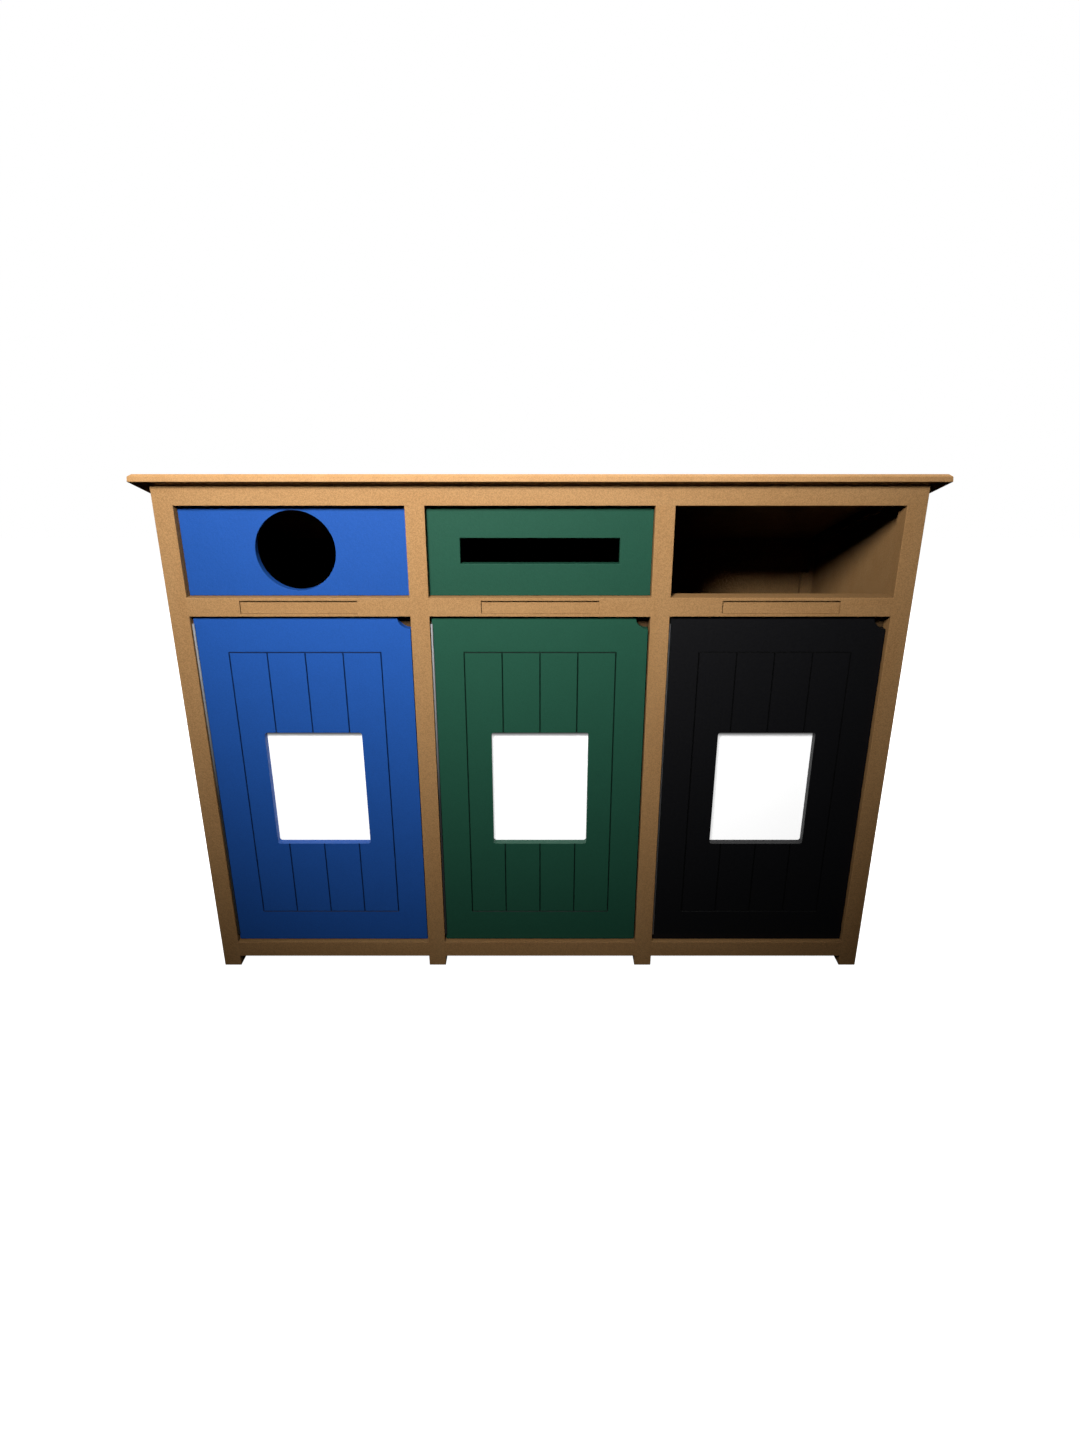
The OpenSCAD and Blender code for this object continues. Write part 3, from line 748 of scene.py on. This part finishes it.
for node, body in (("cabinet_screws", "cabinet"), *DOOR_SCREWS):
    driven = []
    for points in islands(nodes[node].data):
        head, line, length, raised = screw_axis(points)
        turn = (-line).to_track_quat("Z", "Y").to_matrix().to_4x4()
        seat = head + line * HEAD_RAISED if raised else head
        driven.append(moved_copy(screw_of(length, raised), Matrix.Translation(seat) @ turn))
    hand_over(joined(node + "_driven", driven), screw_steel, body, "stainless_steel", node)
for screw in screw_kinds.values():
    discard(screw)


# The liners: one-piece tapered bins moulded in grey polyethylene, with a chamfered
# foot, sunk side panels that stiffen the walls, and a rolled rim to lift them by.
LINER_GREY = (0.05, 0.052, 0.056)
LINER_PEEL = 0.003
LINER_RIM = 0.010
LINER_TAPER = 0.024
LINER_CORNER = 0.040
CORNER_STEPS = 8
LINER_WALL = 0.0038
LINER_RADIUS = 0.0012
LINER_FOOT = ((-0.008, 0), (-0.002, 0.003))
FOOT_TALL = 0.009
LINER_PANEL = (0.09, 0.56)
PANEL_AREA = 0.1
PANEL_MARGIN = 0.022
PANEL_SUNK = 0.005
NECK_BELOW = 0.03
RIM_ROLL = (
    (-0.0005, -0.005), (0.001, -0.0015), (0.003, 0), (0.007, 0),
    (0.0092, -0.0012), (LINER_RIM, -0.004), (LINER_RIM, -0.018),
)
LINER_EDGE = math.radians(28)
LINER_SMOOTH = math.radians(40)

liner_low, liner_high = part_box("liner_left")
liner_size = liner_high - liner_low
foot_wide = liner_size.x - 2 * (LINER_RIM + LINER_TAPER)
foot_deep = liner_size.y - 2 * (LINER_RIM + LINER_TAPER)
tall = liner_size.z


def wall_out(z):
    return LINER_TAPER * z / tall


rim_at = wall_out(tall)
wall_heights = (FOOT_TALL, *LINER_PANEL, tall - NECK_BELOW)
liner_rings = [*LINER_FOOT, *((wall_out(z), z) for z in wall_heights)]
liner_rings += [(rim_at + further, tall + above) for further, above in RIM_ROLL]

bpy.ops.object.select_all(action="DESELECT")
bpy.ops.mesh.primitive_plane_add(size=1, location=(0, 0, 0))
shell = bpy.context.active_object
edit(shell)
out, height = liner_rings[0]
bpy.ops.mesh.select_all(action="SELECT")
foot = (foot_wide + 2 * out, foot_deep + 2 * out, 1)
bpy.ops.transform.resize(value=foot, center_override=(0, 0, 0))
bpy.ops.mesh.bevel(offset=LINER_CORNER, segments=CORNER_STEPS, affect="VERTICES")
bpy.ops.mesh.select_all(action="SELECT")
for next_out, next_height in liner_rings[1:]:
    bpy.ops.mesh.extrude_edges_indiv()
    bpy.ops.transform.translate(value=(0, 0, next_height - height))
    scale = (
        (foot_wide + 2 * next_out) / (foot_wide + 2 * out),
        (foot_deep + 2 * next_out) / (foot_deep + 2 * out), 1,
    )
    bpy.ops.transform.resize(value=scale, center_override=(0, 0, next_height))
    out, height = next_out, next_height
bpy.ops.mesh.select_all(action="SELECT")
bpy.ops.mesh.normals_make_consistent(inside=False)
leave_edit()
for item in (*shell.data.vertices, *shell.data.edges):
    item.select = False
for face in shell.data.polygons:
    in_panel = LINER_PANEL[0] < face.center.z < LINER_PANEL[1]
    face.select = in_panel and face.area > PANEL_AREA
bpy.context.tool_settings.mesh_select_mode = (False, False, True)
bpy.ops.object.mode_set(mode="EDIT")
bpy.ops.mesh.inset(thickness=PANEL_MARGIN, use_individual=True)
bpy.ops.mesh.inset(thickness=PANEL_SUNK, depth=-PANEL_SUNK, use_individual=True)
leave_edit()
for name, kind, values in (
    ("wall", "SOLIDIFY", {"thickness": LINER_WALL, "offset": -1, "use_even_offset": True}),
    ("radius", "BEVEL", {
        "width": LINER_RADIUS, "segments": 2, "limit_method": "ANGLE", "angle_limit": LINER_EDGE,
    }),
):
    modifier = shell.modifiers.new(name, kind)
    for key, value in values.items():
        setattr(modifier, key, value)
    bpy.ops.object.modifier_apply(modifier=name)
bpy.ops.object.shade_smooth_by_angle(angle=LINER_SMOOTH)

liner_plastic = moulded("liner_plastic", LINER_GREY, LINER_PEEL)
for bay in BAYS:
    low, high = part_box("liner_" + bay)
    place = ((low.x + high.x) / 2, (low.y + high.y) / 2, low.z)
    liner = moved_copy(shell, Matrix.Translation(place))
    liner.name = "liner_" + bay + "_moulded"
    hand_over(liner, liner_plastic, "liner_" + bay, "liner_plastic", "liner_" + bay)
discard(shell)


# The studio: a pale floor, one soft lamp above the front, fills beside and behind
# that cannot reach the front, and a white surround that sheds hardly any light.
CAMERA_PLACE = (0, front - 1.7987, 1.3587)
CAMERA_PITCH = math.radians(21.3)
FILM_SIZE = 36
FOCAL_LENGTH = FILM_SIZE * 867.5 / 1440
LAMP_PLACE = Vector((-0.43, front - 1.7, 2.12))
LAMP_AIM = Vector((-0.240, front, 1.615))
LAMP_POWER = 232
LAMP_RADIUS = 0.26
LAMP_SPREAD = math.radians(88)
AMBIENT = 0.0015
FILLS = (
    ("fill_left", (-3.4, 0.3, 2.2), 50), ("fill_right", (3.4, 0.3, 2.2), 50),
    ("fill_rear", (0.6, 3.4, 2.4), 60), ("fill_top", (0, 1.2, 4.2), 60),
)
FILL_SIZE = 1.6
FILL_AIM = Vector((0, 0, 0.6))
WHITE = (1, 1, 1, 1)
FLOOR_SIZE = 12
FLOOR_PALE = (0.9, 0.9, 0.9, 1)
FLOOR_ROUGHNESS = 0.9

camera = placed("camera", bpy.data.cameras.new("camera"))
camera.location = CAMERA_PLACE
camera.rotation_euler = (math.pi / 2 - CAMERA_PITCH, 0, 0)
camera.data.sensor_width = FILM_SIZE
camera.data.lens = FOCAL_LENGTH
bpy.context.scene.camera = camera
bpy.context.scene.view_settings.view_transform = "Standard"
bpy.context.scene.cycles.diffuse_bounces = 0

lamp = placed("key_lamp", bpy.data.lights.new("key_lamp", "SPOT"))
lamp.data.energy = LAMP_POWER
lamp.data.shadow_soft_size = LAMP_RADIUS
lamp.data.spot_size = LAMP_SPREAD
lamp.data.spot_blend = 1
lamp.location = LAMP_PLACE
lamp.rotation_euler = (LAMP_AIM - LAMP_PLACE).to_track_quat("-Z", "Y").to_euler()
lamp.visible_camera = False

for name, place, power in FILLS:
    fill = placed(name, bpy.data.lights.new(name, "AREA"))
    fill.data.energy = power
    fill.data.size = FILL_SIZE
    fill.location = place
    fill.rotation_euler = (FILL_AIM - fill.location).to_track_quat("-Z", "Y").to_euler()
    fill.visible_camera = False

world = bpy.data.worlds.new("surround")
bpy.context.scene.world = world
world.use_nodes = True
tree = world.node_tree
tree.nodes.clear()
seen = tree.nodes.new("ShaderNodeBackground")
seen.inputs["Color"].default_value = WHITE
shed = tree.nodes.new("ShaderNodeBackground")
shed.inputs["Color"].default_value = WHITE
shed.inputs["Strength"].default_value = AMBIENT
path = tree.nodes.new("ShaderNodeLightPath")
either = tree.nodes.new("ShaderNodeMixShader")
out = tree.nodes.new("ShaderNodeOutputWorld")
link(tree, path.outputs["Is Camera Ray"], either.inputs["Fac"])
link(tree, shed.outputs["Background"], either.inputs[1])
link(tree, seen.outputs["Background"], either.inputs[2])
link(tree, either.outputs["Shader"], out.inputs["Surface"])

bpy.ops.object.select_all(action="DESELECT")
bpy.ops.mesh.primitive_plane_add(size=FLOOR_SIZE, location=(0, 0, 0))
floor = bpy.context.active_object
floor.name = "floor"
floor.visible_diffuse = False
floor.visible_glossy = False
material, tree, shader, place = new_finish("pale_floor")
shader.inputs["Base Color"].default_value = FLOOR_PALE
shader.inputs["Roughness"].default_value = FLOOR_ROUGHNESS
shader.inputs["Emission Color"].default_value = WHITE
shader.inputs["Emission Strength"].default_value = 1
floor.data.materials.append(material)
